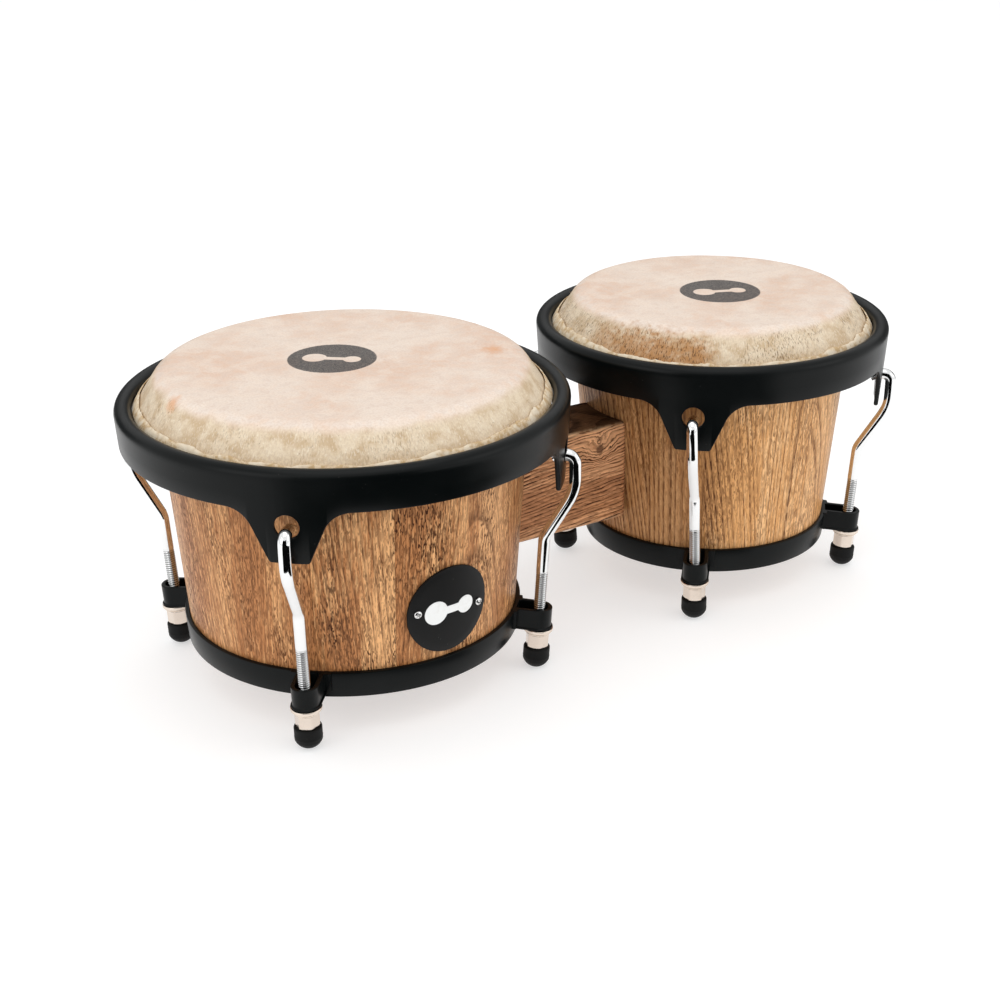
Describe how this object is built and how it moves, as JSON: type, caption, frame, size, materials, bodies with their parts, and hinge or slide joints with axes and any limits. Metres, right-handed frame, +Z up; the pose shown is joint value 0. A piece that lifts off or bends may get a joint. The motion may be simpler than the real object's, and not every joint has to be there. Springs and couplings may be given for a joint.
{
  "type": "bongo drums",
  "caption": "Bongo drums: a larger and a smaller tapered wooden drum joined by a wooden block, with natural skin heads, black rims and chromed tuning hooks.",
  "frame": {"origin": "centre of the bounding box in plan, at the height of the lowest point of the rubber feet", "axes": "+X from the large drum to the small one, along the block; +Z up, along both drum axes; -Y towards the badge"},
  "size_m": [0.4548, 0.2334, 0.1686],
  "materials": {
    "shell_wood": "satin lacquer over open-grained wood",
    "block_wood": "satin lacquer, grain along X",
    "rawhide": "dry natural skin with hair specks",
    "black_steel": "satin black powder coat",
    "chrome_rod": "polished chrome",
    "nickel_steel": "nickel plate",
    "zinc_steel": "zinc plate",
    "hoop_steel": "plain rolled steel",
    "rubber": "matt black rubber",
    "badge_plate": "matt black enamel",
    "screw_chrome": "plated"
  },
  "bodies": {
    "base": {"badge": "badge_plate", "badge_screw_1": "screw_chrome", "badge_screw_2": "screw_chrome", "block_bolt_1": "zinc_steel", "block_bolt_2": "zinc_steel", "block_nut_1": "zinc_steel", "block_nut_2": "zinc_steel", "block_washer_1": "zinc_steel", "block_washer_2": "zinc_steel", "block_washer_3": "zinc_steel", "block_washer_4": "zinc_steel", "centre_block": "block_wood", "large_bottom_ring": "black_steel", "large_head": "rawhide", "large_shell": "shell_wood", "large_washer_1": "nickel_steel", "large_washer_2": "nickel_steel", "large_washer_3": "nickel_steel", "large_washer_4": "nickel_steel", "small_bottom_ring": "black_steel", "small_head": "rawhide", "small_shell": "shell_wood", "small_washer_1": "nickel_steel", "small_washer_2": "nickel_steel", "small_washer_3": "nickel_steel", "small_washer_4": "nickel_steel"},
    "large_rim_set": {"large_rim": "black_steel", "large_flesh_hoop": "hoop_steel", "large_hook_1": "chrome_rod", "large_hook_2": "chrome_rod", "large_hook_3": "chrome_rod", "large_hook_4": "chrome_rod", "large_foot_1": "rubber", "large_foot_2": "rubber", "large_foot_3": "rubber", "large_foot_4": "rubber"},
    "large_nut_1_body": {"large_nut_1": "nickel_steel"},
    "large_nut_2_body": {"large_nut_2": "nickel_steel"},
    "large_nut_3_body": {"large_nut_3": "nickel_steel"},
    "large_nut_4_body": {"large_nut_4": "nickel_steel"},
    "small_rim_set": {"small_rim": "black_steel", "small_flesh_hoop": "hoop_steel", "small_hook_1": "chrome_rod", "small_hook_2": "chrome_rod", "small_hook_3": "chrome_rod", "small_hook_4": "chrome_rod", "small_foot_1": "rubber", "small_foot_2": "rubber", "small_foot_3": "rubber", "small_foot_4": "rubber"},
    "small_nut_1_body": {"small_nut_1": "nickel_steel"},
    "small_nut_2_body": {"small_nut_2": "nickel_steel"},
    "small_nut_3_body": {"small_nut_3": "nickel_steel"},
    "small_nut_4_body": {"small_nut_4": "nickel_steel"}
  },
  "joints": [
    {"name": "large_tuning", "type": "slide", "parent": "base", "child": "large_rim_set", "axis": [0, 0, -1], "range_m": [0, 0.005]},
    {"name": "large_nut_1_turn", "type": "hinge", "parent": "base", "child": "large_nut_1_body", "pos_m": [-0.04557, 0.07603, 0.01632], "axis": [0.042, 0.049, 0.9979], "range_deg": [0, 1418]},
    {"name": "large_nut_2_turn", "type": "hinge", "parent": "base", "child": "large_nut_2_body", "pos_m": [-0.18676, 0.06516, 0.01632], "axis": [-0.049, 0.042, 0.9979], "range_deg": [0, 1418]},
    {"name": "large_nut_3_turn", "type": "hinge", "parent": "base", "child": "large_nut_3_body", "pos_m": [-0.1759, -0.07603, 0.01632], "axis": [-0.042, -0.049, 0.9979], "range_deg": [0, 1418]},
    {"name": "large_nut_4_turn", "type": "hinge", "parent": "base", "child": "large_nut_4_body", "pos_m": [-0.03471, -0.06516, 0.01632], "axis": [0.049, -0.042, 0.9979], "range_deg": [0, 1418]},
    {"name": "small_tuning", "type": "slide", "parent": "base", "child": "small_rim_set", "axis": [0, 0, -1], "range_m": [0, 0.005]},
    {"name": "small_nut_1_turn", "type": "hinge", "parent": "base", "child": "small_nut_1_body", "pos_m": [0.18131, 0.06426, 0.01632], "axis": [0.042, 0.049, 0.9979], "range_deg": [0, 1418]},
    {"name": "small_nut_2_turn", "type": "hinge", "parent": "base", "child": "small_nut_2_body", "pos_m": [0.06198, 0.05508, 0.01632], "axis": [-0.049, 0.042, 0.9979], "range_deg": [0, 1418]},
    {"name": "small_nut_3_turn", "type": "hinge", "parent": "base", "child": "small_nut_3_body", "pos_m": [0.07116, -0.06426, 0.01632], "axis": [-0.042, -0.049, 0.9979], "range_deg": [0, 1418]},
    {"name": "small_nut_4_turn", "type": "hinge", "parent": "base", "child": "small_nut_4_body", "pos_m": [0.19049, -0.05508, 0.01632], "axis": [0.049, -0.042, 0.9979], "range_deg": [0, 1418]}
  ],
  "couplings": [
    {"joint": "large_nut_1_turn", "follows": "large_tuning", "rad_per_m": 4947.4},
    {"joint": "large_nut_2_turn", "follows": "large_tuning", "rad_per_m": 4947.4},
    {"joint": "large_nut_3_turn", "follows": "large_tuning", "rad_per_m": 4947.4},
    {"joint": "large_nut_4_turn", "follows": "large_tuning", "rad_per_m": 4947.4},
    {"joint": "small_nut_1_turn", "follows": "small_tuning", "rad_per_m": 4947.4},
    {"joint": "small_nut_2_turn", "follows": "small_tuning", "rad_per_m": 4947.4},
    {"joint": "small_nut_3_turn", "follows": "small_tuning", "rad_per_m": 4947.4},
    {"joint": "small_nut_4_turn", "follows": "small_tuning", "rad_per_m": 4947.4}
  ]
}
